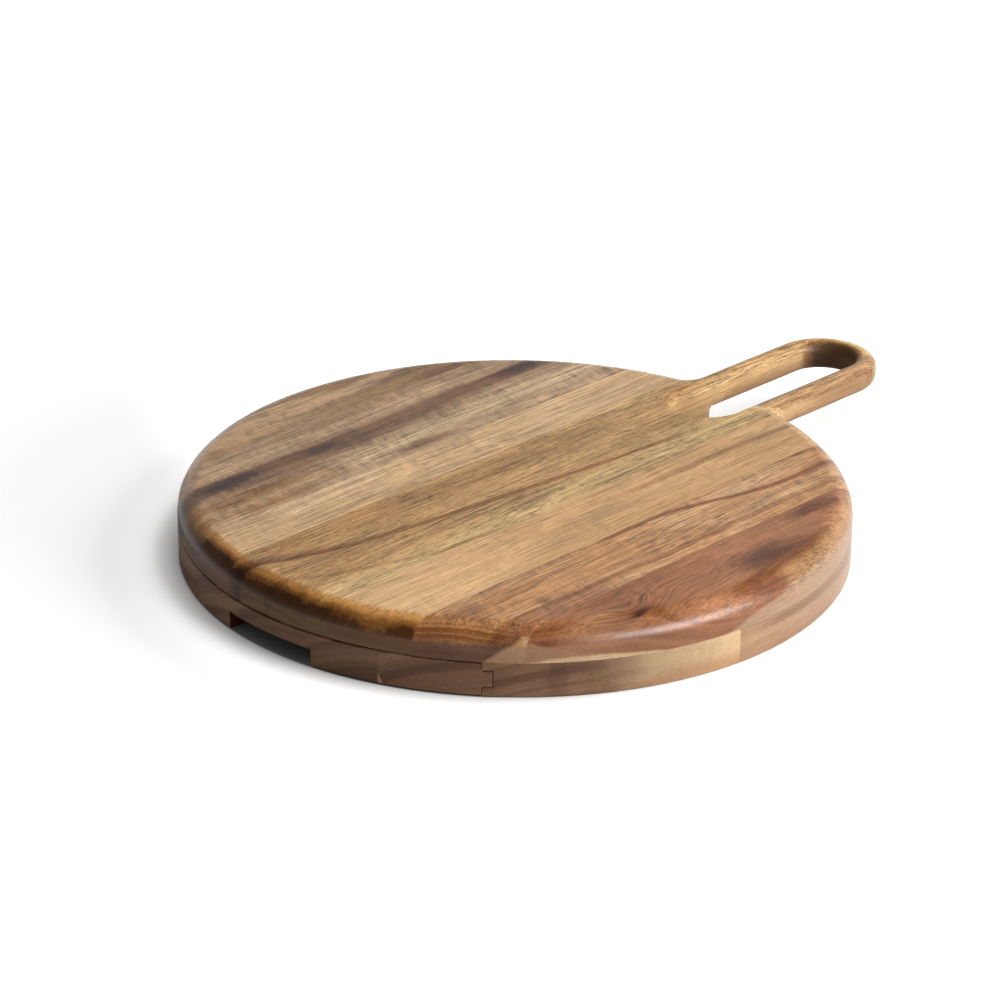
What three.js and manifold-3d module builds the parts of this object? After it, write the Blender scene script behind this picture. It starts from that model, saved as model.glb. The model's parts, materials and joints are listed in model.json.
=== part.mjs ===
// A round cheese board with a loop handle: a disc of glued staves on a base with a sliding drawer of tools.
// Millimetres, +Z up, +X towards the handle, +Y to the left of someone who looks that way.

import * as THREE from 'three';
import { mergeVertices } from 'three/addons/utils/BufferGeometryUtils.js';
import loadManifold from 'manifold-3d';

const wasm = await loadManifold();
wasm.setup();

// Disc: two layers of one diameter
const discDiameter = 305;
const topThickness = 16;
const baseThickness = 16;
const rimRound = 10.5; // round-over of the disc's top edge
const baseArris = 0.6; // small bevel round the underside

// Loop handle: a bar bent round a slot that runs into the disc
const barWidth = 10.8;
const barThickness = 13.9;
const barDrop = 1.15; // from the disc's top face down to the bar's
const barRound = 5.2; // round-over of the bar's edges, and of the slot's upper edge inside the disc
const slotUnderRound = 2.5; // round-over of the slot's lower edge, past the rim
const slotWidth = 30.4;
const slotInset = 37.5; // from the rim to the slot's inner end
const handleReach = 92.7; // from the rim to the loop's tip
const flareRadius = 12; // hollow curve where the bar leaves the rim
const underRoundRun = 2; // length over which the slot's lower round-over starts, past the rim

// Staves of the top panel: the seams' places across the board, from left to right
const seamBesideHandle = 0.3; // from the bar's outer side to the seam on its left
const topSeamsLeft = [112.5, 53];
const topSeamsRight = [-33.8, -71, -109];

// Base: grooved rails beside the drawer, outer rails beyond them
const groovedRailWidth = 20.3;
const buttJointSetback = 19.2; // from the disc's centre forward to the joint in the right outer rail

// Drawer
const drawerWidth = 190.4;
const drawerStaves = 5;
const drawerSideGap = 0.5;
const drawerTopGap = 0.6;
const drawerFloorGap = 0.3;
const drawerRearGap = 1;
const tongueReach = 3.5;
const tongueHeight = 7;
const tongueLift = 4.6; // from the underside of the board to the tongue's
const grooveTopGap = 0.5;
const grooveRestGap = 0.3;
const notchWidth = 51;
const notchHeight = 8.2;
const notchDepth = 24;

// Pockets for the tools, one in each stave but the middle one
const pocketSideWall = 5;
const pocketFrontWall = 8;
const pocketRearWall = 12;
const pocketFloor = 4.2;
const pocketCorner = 6;
const toolEndGap = 1.5;
const restGap = 0.3; // between pieces that lie on or in each other

// Cheese tools
const gripLength = 74;
const gripButtWidth = 15;
const gripNeckWidth = 10.5;
const gripThickness = 8.8;
const gripRound = 3;
const bladeLength = 72;
const bladeThickness = 1.6;
const bladeNeck = 7;
const tangLength = 32;
const tangWidth = 5;
const knifeWidth = 16;
const prongDepth = 9;
const chiselWidth = 21;
const spadeWidth = 20;
const forkWidth = 15;
const forkSlotWidth = 6;
const forkSlotLength = 34;

// Magnets of the drawer's catch
const magnetDiameter = 8;
const magnetThickness = 4;

// Fineness of the round surfaces
const discSegments = 120;
const loopSegments = 20;
const flareSegments = 5;
const roundSegments = 5;
const cornerSegments = 4;
const magnetSegments = 20;

// Worked-out places, measured from the disc's centre on the underside
const discRadius = discDiameter / 2;
const seamHeight = baseThickness;
const topHeight = baseThickness + topThickness;
const rimEdge = Math.min(rimRound, topThickness);
const barTop = topHeight - barDrop;
const barUnderside = barTop - barThickness;
const barEdge = Math.min(barRound, barWidth / 2, barThickness / 2);
const slotUnderEdge = Math.min(slotUnderRound, barWidth / 2, barThickness / 2);
const slotHalf = slotWidth / 2;
const handleHalf = slotHalf + barWidth;
const loopTip = discRadius + handleReach;
const loopCentre = loopTip - handleHalf;
const slotStart = discRadius - slotInset + slotHalf;
const drawerHalf = drawerWidth / 2;
const openingHalf = drawerHalf + drawerSideGap;
const drawerTop = seamHeight - drawerTopGap;
const drawerStaveWidth = drawerWidth / drawerStaves;
const pocketWidth = drawerStaveWidth - 2 * pocketSideWall;
const pocketFloorHeight = drawerFloorGap + pocketFloor;
const pocketOuterSide = drawerHalf - pocketSideWall;
const pocketStart = -Math.sqrt(discRadius ** 2 - pocketOuterSide ** 2) + pocketFrontWall;
const pocketEnd = pocketStart + gripLength + bladeLength + 2 * toolEndGap;
const drawerEnd = pocketEnd + pocketRearWall;
const openingEnd = drawerEnd + drawerRearGap;
const magnetHeight = (drawerFloorGap + drawerTop) / 2;
const spare = 5; // how far a cutting solid runs past what it cuts

// Solids: a closed three.js geometry becomes a solid that can be cut, and back

const weldDistance = 1e-4;

function solid(geometry) {
  geometry.deleteAttribute('normal');
  geometry.deleteAttribute('uv');
  const merged = mergeVertices(geometry, weldDistance);
  const corners = merged.index.array;
  const triangles = [];
  for (let i = 0; i < corners.length; i += 3) {
    const [a, b, c] = corners.slice(i, i + 3);
    if (a !== b && b !== c && c !== a) triangles.push(a, b, c);
  }
  return new wasm.Manifold(new wasm.Mesh({
    numProp: 3,
    vertProperties: Float32Array.from(merged.attributes.position.array),
    triVerts: Uint32Array.from(triangles),
  }));
}

function geometryOf(body) {
  const mesh = body.getMesh();
  const geometry = new THREE.BufferGeometry();
  geometry.setAttribute('position', new THREE.BufferAttribute(Float32Array.from(mesh.vertProperties), 3));
  geometry.setIndex(new THREE.BufferAttribute(Uint32Array.from(mesh.triVerts), 1));
  geometry.computeVertexNormals();
  return geometry;
}

function block(low, high) {
  const size = high.map((value, axis) => value - low[axis]);
  const box = new THREE.BoxGeometry(...size);
  box.translate(...high.map((value, axis) => (value + low[axis]) / 2));
  return solid(box);
}

function prism(shape, low, high) {
  const geometry = new THREE.ExtrudeGeometry(shape, {
    depth: high - low,
    bevelEnabled: false,
    curveSegments: loopSegments,
  });
  geometry.translate(0, 0, low);
  return solid(geometry);
}

// A slab across the whole board between two places on the Y axis
function slab(right, left) {
  const reach = loopTip + spare;
  return block([-reach, right, -spare], [reach, left, topHeight + spare]);
}

// A round plate as wide as the disc, with the small bevel at its lower edge
function discPlate(low, high) {
  const profile = [
    new THREE.Vector2(0, low),
    new THREE.Vector2(discRadius - baseArris, low),
    new THREE.Vector2(discRadius, low + baseArris),
    new THREE.Vector2(discRadius, high),
    new THREE.Vector2(0, high),
  ];
  const plate = new THREE.LatheGeometry(profile, discSegments);
  plate.rotateX(Math.PI / 2);
  return solid(plate);
}

// Top panel: each point of an outline knows its outward direction and the round-overs of its two edges

function outlinePoint(x, y, outX, outY, upper, lower) {
  return { x, y, outX, outY, upper, lower };
}

function arcPoints(centreX, centreY, radius, from, to, steps, outward, upper, lower) {
  const points = [];
  for (let i = 0; i <= steps; i += 1) {
    const share = i / steps;
    const angle = from + (to - from) * share;
    const c = Math.cos(angle);
    const s = Math.sin(angle);
    const x = centreX + radius * c;
    const y = centreY + radius * s;
    points.push(outlinePoint(x, y, outward * c, outward * s, upper(share), lower(share)));
  }
  return points;
}

// The handle's outline leaves the rim in hollow curves, and ends inside the disc behind the slot
function handleOutline() {
  const across = handleHalf + flareRadius;
  const along = Math.sqrt((discRadius - restGap + flareRadius) ** 2 - across ** 2);
  const rimAngle = Math.atan2(across, along);
  const bar = () => barEdge;
  const towardsRim = (share) => barEdge + (rimEdge - barEdge) * share;
  const towardsBar = (share) => towardsRim(1 - share);
  const easingOff = (share) => barEdge * (1 - share);
  const easingIn = (share) => barEdge * share;
  const quarter = Math.PI / 2;
  const tip = arcPoints(loopCentre, 0, handleHalf, -quarter, quarter, loopSegments, 1, bar, bar);
  const leftFlare = arcPoints(
    along, across, flareRadius, -quarter, rimAngle - Math.PI, flareSegments, -1, towardsRim, easingOff,
  );
  const rootX = discRadius - slotInset - barWidth;
  const root = [handleHalf, -handleHalf].map((y) => outlinePoint(rootX, y, -1, 0, 0, 0));
  const rightFlare = arcPoints(
    along, -across, flareRadius, Math.PI - rimAngle, quarter, flareSegments, -1, towardsBar, easingIn,
  );
  return [...tip, ...leftFlare, ...root, ...rightFlare];
}

// The slot's outward direction points into the wood; its lower edge is rounded only past the rim
function slotOutline() {
  const rimAtSlot = Math.sqrt(discRadius ** 2 - slotHalf ** 2);
  const roundFrom = rimAtSlot + underRoundRun;
  const upper = () => barEdge;
  const lower = () => slotUnderEdge;
  const none = () => 0;
  const quarter = Math.PI / 2;
  const inner = arcPoints(slotStart, 0, slotHalf, quarter, 3 * quarter, loopSegments, 1, upper, none);
  const rightSide = [
    outlinePoint(rimAtSlot, -slotHalf, 0, -1, barEdge, 0),
    outlinePoint(roundFrom, -slotHalf, 0, -1, barEdge, slotUnderEdge),
  ];
  const outer = arcPoints(loopCentre, 0, slotHalf, -quarter, quarter, loopSegments, 1, upper, lower);
  const leftSide = [
    outlinePoint(roundFrom, slotHalf, 0, 1, barEdge, slotUnderEdge),
    outlinePoint(rimAtSlot, slotHalf, 0, 1, barEdge, 0),
  ];
  return [...inner, ...rightSide, ...outer, ...leftSide];
}

// An edge's two round-overs, from the bar's underside to its top: the distance out of full size, and the height
function roundedEdge(point) {
  const rows = [];
  for (let i = roundSegments; i >= 0; i -= 1) {
    const angle = (i / roundSegments) * (Math.PI / 2);
    rows.push([point.lower * (1 - Math.cos(angle)), barUnderside + point.lower * (1 - Math.sin(angle))]);
  }
  for (let i = 0; i <= roundSegments; i += 1) {
    const angle = (i / roundSegments) * (Math.PI / 2);
    rows.push([point.upper * (1 - Math.cos(angle)), barTop - point.upper * (1 - Math.sin(angle))]);
  }
  return rows;
}

// A solid from an outline and the rows of its edge: inwards for a bar, outwards for what cuts a slot
function loft(outline, rowsAt, direction) {
  const sections = outline.map((point) => rowsAt(point).map(([offset, height]) => [
    point.x + direction * point.outX * offset,
    point.y + direction * point.outY * offset,
    height,
  ]));
  const rows = sections[0].length;
  const triangles = [];
  sections.forEach((_, i) => {
    const here = i * rows;
    const next = ((i + 1) % sections.length) * rows;
    for (let row = 0; row < rows - 1; row += 1) {
      triangles.push(here + row, next + row, here + row + 1);
      triangles.push(next + row, next + row + 1, here + row + 1);
    }
  });
  const flatFace = (row) => {
    const ring = sections.map((section) => new THREE.Vector2(...section[row]));
    return THREE.ShapeUtils.triangulateShape(ring, []).map((face) => face.map((corner) => corner * rows + row));
  };
  flatFace(rows - 1).forEach(([a, b, c]) => triangles.push(a, b, c));
  flatFace(0).forEach(([a, b, c]) => triangles.push(c, b, a));
  const geometry = new THREE.BufferGeometry();
  geometry.setAttribute('position', new THREE.BufferAttribute(Float32Array.from(sections.flat(2)), 3));
  geometry.setIndex(triangles);
  return solid(geometry);
}

function roundedDisc() {
  const profile = [new THREE.Vector2(0, seamHeight), new THREE.Vector2(discRadius, seamHeight)];
  for (let i = 0; i <= roundSegments; i += 1) {
    const angle = (i / roundSegments) * (Math.PI / 2);
    profile.push(new THREE.Vector2(
      discRadius - rimEdge * (1 - Math.cos(angle)),
      topHeight - rimEdge * (1 - Math.sin(angle)),
    ));
  }
  profile.push(new THREE.Vector2(0, topHeight));
  const disc = new THREE.LatheGeometry(profile, discSegments);
  disc.rotateX(Math.PI / 2);
  return solid(disc);
}

// Inside the disc the slot's upper edge keeps a small shoulder, because its round-over is level with the bar's
function slotEdge(point) {
  return [
    [point.lower, seamHeight - spare],
    ...roundedEdge(point),
    [point.upper, topHeight + spare],
  ];
}

function topPanel() {
  const handle = loft(handleOutline(), roundedEdge, -1);
  const slot = loft(slotOutline(), slotEdge, 1);
  return roundedDisc().add(handle).subtract(slot);
}

// Base: the disc with the slot, the drawer's opening and its grooves cut out

function slotShape() {
  const shape = new THREE.Shape();
  shape.absarc(slotStart, 0, slotHalf, Math.PI / 2, (3 * Math.PI) / 2);
  shape.lineTo(loopTip, -slotHalf);
  shape.lineTo(loopTip, slotHalf);
  return shape;
}

function magnetBore(y, mouth, direction) {
  const length = magnetThickness + restGap;
  const bore = new THREE.CylinderGeometry(
    magnetDiameter / 2 + restGap, magnetDiameter / 2 + restGap, length + spare, magnetSegments,
  );
  bore.rotateZ(Math.PI / 2);
  bore.translate(mouth + (direction * (length - spare)) / 2, y, magnetHeight);
  return solid(bore);
}

const magnetPlaces = { left: drawerStaveWidth, right: -drawerStaveWidth };

function basePlate() {
  const front = -discRadius - spare;
  const grooveHalf = openingHalf + tongueReach;
  const grooveLow = tongueLift - grooveRestGap;
  const grooveHigh = tongueLift + tongueHeight + grooveTopGap;
  let plate = discPlate(0, seamHeight)
    .subtract(prism(slotShape(), -spare, seamHeight + spare))
    .subtract(block([front, -openingHalf, -spare], [openingEnd, openingHalf, seamHeight + spare]))
    .subtract(block([front, -grooveHalf, grooveLow], [openingEnd, grooveHalf, grooveHigh]));
  Object.values(magnetPlaces).forEach((y) => {
    plate = plate.subtract(magnetBore(y, openingEnd, 1));
  });
  return plate;
}

// Drawer: a slice of the same disc with tongues at its sides, a finger notch and the tools' pockets

function pocketShape(y) {
  const shape = new THREE.Shape();
  const half = pocketWidth / 2;
  const near = pocketStart + pocketCorner;
  const far = pocketEnd - pocketCorner;
  const low = y - half + pocketCorner;
  const high = y + half - pocketCorner;
  const quarter = Math.PI / 2;
  shape.absarc(near, low, pocketCorner, 2 * quarter, 3 * quarter);
  shape.absarc(far, low, pocketCorner, 3 * quarter, 4 * quarter);
  shape.absarc(far, high, pocketCorner, 0, quarter);
  shape.absarc(near, high, pocketCorner, quarter, 2 * quarter);
  return shape;
}

function pocket(y) {
  const geometry = new THREE.ExtrudeGeometry(pocketShape(y), {
    depth: drawerTop + spare - pocketFloorHeight,
    bevelEnabled: false,
    curveSegments: cornerSegments,
  });
  geometry.translate(0, 0, pocketFloorHeight);
  return solid(geometry);
}

const toolPlaces = [2, 1, -1, -2].map((count) => count * drawerStaveWidth);

function drawerBody() {
  const front = -discRadius - spare;
  const tongueHalf = drawerHalf + tongueReach;
  const core = block([front, -drawerHalf, -spare], [drawerEnd, drawerHalf, topHeight]);
  const tongues = block([front, -tongueHalf, tongueLift], [drawerEnd, tongueHalf, tongueLift + tongueHeight]);
  const notch = block(
    [front, -notchWidth / 2, -spare],
    [-discRadius + notchDepth, notchWidth / 2, notchHeight],
  );
  let body = discPlate(drawerFloorGap, drawerTop).intersect(core.add(tongues)).subtract(notch);
  toolPlaces.forEach((y) => {
    body = body.subtract(pocket(y));
  });
  Object.values(magnetPlaces).forEach((y) => {
    body = body.subtract(magnetBore(y, drawerEnd, -1));
  });
  return body;
}

// Tools: each lies along X with its grip to the front, its blade's flat facing up

function gripBody() {
  const butt = gripButtWidth / 2;
  const neck = gripNeckWidth / 2;
  const shape = new THREE.Shape();
  shape.moveTo(gripLength, neck);
  shape.absarc(butt, 0, butt, Math.PI / 2, (3 * Math.PI) / 2);
  shape.lineTo(gripLength, -neck);
  const geometry = new THREE.ExtrudeGeometry(shape, {
    depth: gripThickness - 2 * gripRound,
    bevelThickness: gripRound,
    bevelSize: gripRound,
    bevelOffset: -gripRound,
    bevelSegments: cornerSegments,
    curveSegments: cornerSegments * 2,
  });
  geometry.translate(0, 0, gripRound);
  const middle = gripThickness / 2;
  const slotReach = gripLength - tangLength - restGap;
  const halfWidth = tangWidth / 2 + restGap;
  const halfHeight = bladeThickness / 2 + restGap;
  const tangSlot = block(
    [slotReach, -halfWidth, middle - halfHeight],
    [gripLength + spare, halfWidth, middle + halfHeight],
  );
  return solid(geometry).subtract(tangSlot);
}

// Every blade starts with its tang and neck, and each kind then draws its own edge round the rest
function bladeShape(drawEdge) {
  const root = gripLength + restGap;
  const shape = new THREE.Shape();
  shape.moveTo(root - tangLength, tangWidth / 2);
  shape.lineTo(root - tangLength, -tangWidth / 2);
  shape.lineTo(root, -tangWidth / 2);
  shape.lineTo(root, -bladeNeck / 2);
  drawEdge(shape, root, gripLength + bladeLength);
  shape.lineTo(root, bladeNeck / 2);
  shape.lineTo(root, tangWidth / 2);
  return shape;
}

function pronged(shape, root, tip) {
  const half = knifeWidth / 2;
  const swell = root + (tip - root) / 4;
  shape.quadraticCurveTo(swell, -half, (root + tip) / 2, -half);
  shape.quadraticCurveTo(tip - prongDepth, -half, tip, 0);
  shape.lineTo(tip - prongDepth, half / 4);
  shape.lineTo(tip, half);
  shape.lineTo(tip - prongDepth, half);
  shape.quadraticCurveTo(swell, half, root, bladeNeck / 2);
}

function chisel(shape, root, tip) {
  const half = chiselWidth / 2;
  const waist = (root + tip) / 2;
  shape.quadraticCurveTo(waist, -bladeNeck / 2, tip, -half);
  shape.lineTo(tip, half);
  shape.quadraticCurveTo(waist, bladeNeck / 2, root, bladeNeck / 2);
}

function spade(shape, root, tip) {
  const half = spadeWidth / 2;
  const shoulder = root + (tip - root) / 3;
  const belly = (root + tip) / 2;
  shape.quadraticCurveTo(shoulder, -bladeNeck / 2, shoulder, -half);
  shape.quadraticCurveTo(belly + half, -half, tip, 0);
  shape.quadraticCurveTo(belly + half, half, shoulder, half);
  shape.quadraticCurveTo(shoulder, bladeNeck / 2, root, bladeNeck / 2);
}

function fork(shape, root, tip) {
  const half = forkWidth / 2;
  const gap = forkSlotWidth / 2;
  const crotch = tip - forkSlotLength;
  const shoulder = (root + crotch) / 2;
  shape.quadraticCurveTo(shoulder, -bladeNeck / 2, crotch - gap, -half);
  shape.lineTo(tip - half, -half);
  shape.lineTo(tip, -gap);
  shape.lineTo(crotch, -gap);
  shape.absarc(crotch, 0, gap, -Math.PI / 2, Math.PI / 2, true);
  shape.lineTo(tip, gap);
  shape.lineTo(tip - half, half);
  shape.lineTo(crotch - gap, half);
  shape.quadraticCurveTo(shoulder, bladeNeck / 2, root, bladeNeck / 2);
}

function bladeBody(drawEdge) {
  const geometry = new THREE.ExtrudeGeometry(bladeShape(drawEdge), {
    depth: bladeThickness,
    bevelEnabled: false,
    curveSegments: cornerSegments * 2,
  });
  geometry.translate(0, 0, (gripThickness - bladeThickness) / 2);
  return solid(geometry);
}

// Materials

function wood(colour) {
  return new THREE.MeshStandardMaterial({ color: colour, roughness: 0.45, metalness: 0 });
}

const steel = new THREE.MeshStandardMaterial({ color: 0xc4c6c8, roughness: 0.28, metalness: 1 });
const magnetMetal = new THREE.MeshStandardMaterial({ color: 0xb5b7ba, roughness: 0.2, metalness: 1 });
const topColours = [0x8a6340, 0x8f7048, 0xb98f62, 0x9b7445, 0xb48a58, 0x96693f, 0x7a4c33];
const baseColours = { inner: 0x6a4f3a, outer: 0x94714a, rear: 0xb08a66 };
const drawerColours = [0x5e4230, 0x6b4a34, 0x5a3f2e, 0x70503a, 0x744832];
const gripColour = 0x6b452c;

// The model: built round the disc's centre, then moved so that the origin is under the middle of its length

const board = new THREE.Group();
board.position.x = -(loopTip - discRadius) / 2;

function addPiece(name, body, material, place = [0, 0, 0], parent = board) {
  const mesh = new THREE.Mesh(geometryOf(body), material);
  mesh.name = name;
  mesh.position.set(...place);
  parent.add(mesh);
}

function addTopStaves() {
  const panel = topPanel();
  const edge = discRadius + spare;
  const handleSeam = handleHalf + seamBesideHandle;
  const seams = [edge, ...topSeamsLeft, handleSeam, ...topSeamsRight, -edge];
  const handleStave = seams.indexOf(handleSeam);
  for (let i = 0; i < seams.length - 1; i += 1) {
    const name = i === handleStave ? 'handle_stave' : `top_stave_${i + 1}`;
    addPiece(name, panel.intersect(slab(seams[i + 1], seams[i])), wood(topColours[i]));
  }
}

function addBase() {
  const plate = basePlate();
  const edge = discRadius + spare;
  const railSide = openingHalf + groovedRailWidth;
  const jointX = -buttJointSetback;
  const reach = discRadius + spare;
  const rightOuter = plate.intersect(slab(-edge, -railSide));
  const frontHalf = block([-reach, -edge, -spare], [jointX, edge, topHeight]);
  addPiece('left_outer_rail', plate.intersect(slab(railSide, edge)), wood(baseColours.outer));
  addPiece('left_grooved_rail', plate.intersect(slab(openingHalf, railSide)), wood(baseColours.inner));
  addPiece('right_grooved_rail', plate.intersect(slab(-railSide, -openingHalf)), wood(baseColours.inner));
  addPiece('right_outer_rail_front', rightOuter.intersect(frontHalf), wood(baseColours.outer));
  addPiece('right_outer_rail_rear', rightOuter.subtract(frontHalf), wood(baseColours.rear));
  const staveWidth = (2 * openingHalf) / drawerStaves;
  for (let i = 0; i < drawerStaves; i += 1) {
    const left = openingHalf - i * staveWidth;
    addPiece(`rear_stave_${i + 1}`, plate.intersect(slab(left - staveWidth, left)), wood(baseColours.rear));
  }
}

function addDrawer() {
  const body = drawerBody();
  const outside = openingHalf + tongueReach;
  for (let i = 0; i < drawerStaves; i += 1) {
    const left = i === 0 ? outside : drawerHalf - i * drawerStaveWidth;
    const right = i === drawerStaves - 1 ? -outside : drawerHalf - (i + 1) * drawerStaveWidth;
    addPiece(`drawer_stave_${i + 1}`, body.intersect(slab(right, left)), wood(drawerColours[i]));
  }
}

function addMagnets() {
  Object.entries(magnetPlaces).forEach(([side, y]) => {
    const disc = new THREE.CylinderGeometry(
      magnetDiameter / 2, magnetDiameter / 2, magnetThickness, magnetSegments,
    );
    disc.rotateZ(Math.PI / 2);
    const magnet = solid(disc);
    const seat = magnetThickness / 2;
    addPiece(`drawer_magnet_${side}`, magnet, magnetMetal, [drawerEnd - seat, y, magnetHeight]);
    addPiece(`base_magnet_${side}`, magnet, magnetMetal, [openingEnd + seat, y, magnetHeight]);
  });
}

function addTools() {
  const kinds = { pronged_knife: pronged, chisel_knife: chisel, spade_knife: spade, cheese_fork: fork };
  const grip = gripBody();
  Object.entries(kinds).forEach(([name, drawEdge], i) => {
    const tool = new THREE.Group();
    tool.position.set(pocketStart + toolEndGap, toolPlaces[i], pocketFloorHeight + restGap);
    board.add(tool);
    addPiece(`${name}_grip`, grip, wood(gripColour), [0, 0, 0], tool);
    addPiece(`${name}_blade`, bladeBody(drawEdge), steel, [0, 0, 0], tool);
  });
}

addTopStaves();
addBase();
addDrawer();
addMagnets();
addTools();

const model = new THREE.Group();
model.add(board);

export default model;
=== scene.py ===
import json
import math

import bmesh
import bpy
from mathutils import Matrix, Vector


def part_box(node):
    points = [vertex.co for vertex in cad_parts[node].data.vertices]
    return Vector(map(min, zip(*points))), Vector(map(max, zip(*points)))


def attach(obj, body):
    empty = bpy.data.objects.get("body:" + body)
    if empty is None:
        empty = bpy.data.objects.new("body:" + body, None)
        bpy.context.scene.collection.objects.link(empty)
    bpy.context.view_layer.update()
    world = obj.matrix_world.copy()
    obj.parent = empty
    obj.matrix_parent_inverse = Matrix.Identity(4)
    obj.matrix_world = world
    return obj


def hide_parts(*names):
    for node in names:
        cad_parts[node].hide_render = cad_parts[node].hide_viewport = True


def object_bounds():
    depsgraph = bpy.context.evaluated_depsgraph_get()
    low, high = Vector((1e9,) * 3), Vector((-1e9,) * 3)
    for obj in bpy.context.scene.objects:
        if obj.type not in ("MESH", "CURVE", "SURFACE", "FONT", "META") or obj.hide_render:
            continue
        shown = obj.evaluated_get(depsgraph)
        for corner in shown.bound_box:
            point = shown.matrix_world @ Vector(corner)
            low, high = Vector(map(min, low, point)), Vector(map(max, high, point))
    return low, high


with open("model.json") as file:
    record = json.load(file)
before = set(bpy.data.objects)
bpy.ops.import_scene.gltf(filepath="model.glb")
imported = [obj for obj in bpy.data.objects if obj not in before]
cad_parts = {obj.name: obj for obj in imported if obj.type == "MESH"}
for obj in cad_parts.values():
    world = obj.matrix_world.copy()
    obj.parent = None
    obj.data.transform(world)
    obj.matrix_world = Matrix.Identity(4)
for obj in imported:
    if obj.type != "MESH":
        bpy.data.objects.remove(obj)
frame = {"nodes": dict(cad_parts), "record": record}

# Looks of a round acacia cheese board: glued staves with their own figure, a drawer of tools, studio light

CAD_BOX = [list(corner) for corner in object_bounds()]

# A millimetre in metres, and the index of the height in a point
MM = 0.001
UP = 2

# Places taken from the frame, in metres, and the drawer's seam in millimetres
DISC_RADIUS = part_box("left_outer_rail")[1].y
DISC_CENTRE_X = CAD_BOX[0][0] + DISC_RADIUS
DRAWER_SEAM = -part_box("drawer_stave_5")[1].y / MM
DRAWER_STAVES = 5
REAR_STAVES = 5

# Camera, found by fitting the rim, the seam and the loop; distances in metres, angles in degrees
HEADING = 45.9
ELEVATION = 24.245
DISTANCE = 1.59724
TARGET_RIGHT = -0.00686
TARGET_FORWARD = 0.04751
ROLL = 0.434
FOCAL_PIXELS = 3409.1
IMAGE_PIXELS = 1000
SENSOR_MM = 36.0
CLIP_END = 20.0

# Light: a wide soft key from the right, by its strength, spread, elevation and turn, angles in degrees; a
# wide low panel between the right and the camera that fills, and one about there that only the gloss shows,
# each by its power, width, height, elevation and turn; and an even sky, which reflects darker overhead and
# towards the room, at the near left. Away from the room is in shares of the camera's right and forward
KEY = (2.86, 52.0, 46.0, 2.0)
FILL_PANEL = (46.0, 1.9, 0.45, 14.0, -30.0)
GLOSS_PANEL = (138.0, 2.3, 1.1, 16.0, -36.0)
PANEL_DISTANCE = 3.0
SKY_LEVEL = 0.30
CEILING_LEVEL = 0.34
CEILING_START = 0.06
CEILING_END = 0.52
ROOM_LEVEL = 0.14
ROOM_START = -0.5
ROOM_END = 0.1
AWAY_FROM_ROOM = (0.9, 0.43)
DARKEST_REFLECTION = 0.1

# Floor, in metres: pale where it is seen and darker where it bounces light, with its shadow lifted away from
# the rim, less so on the shadow's side, and not at all inside the finger notch
FLOOR_HALF = 4.0
FLOOR_SHOWN = (0.9, 0.9, 0.9, 1)
FLOOR_BOUNCE = (0.35, 0.35, 0.35, 1)
FLOOR_LIFT = 0.42
LIFT_START = -0.006
LIFT_END = 0.016
SHADOW_FADE_START = 0.010
SHADOW_FADE_END = 0.036
SHADOW_LIFT = 0.22
SHADOW_TURN = -165.0
SHADOW_NEAR = 0.10
SHADOW_FAR = 0.15
NOTCH_REACH = 0.11
NOTCH_FADE = 0.01
NOTCH_SHADE = 0.3
RIM_FADE = 0.001


# Shader nodes: a graph adds nodes to a material or a world and links or sets what each is given

# How far one seed moves a noise along each axis, and the least rise that a curve has
SEED_SHIFT = (7.31, 3.17, 5.53)
LEAST_RISE = 0.001


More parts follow.
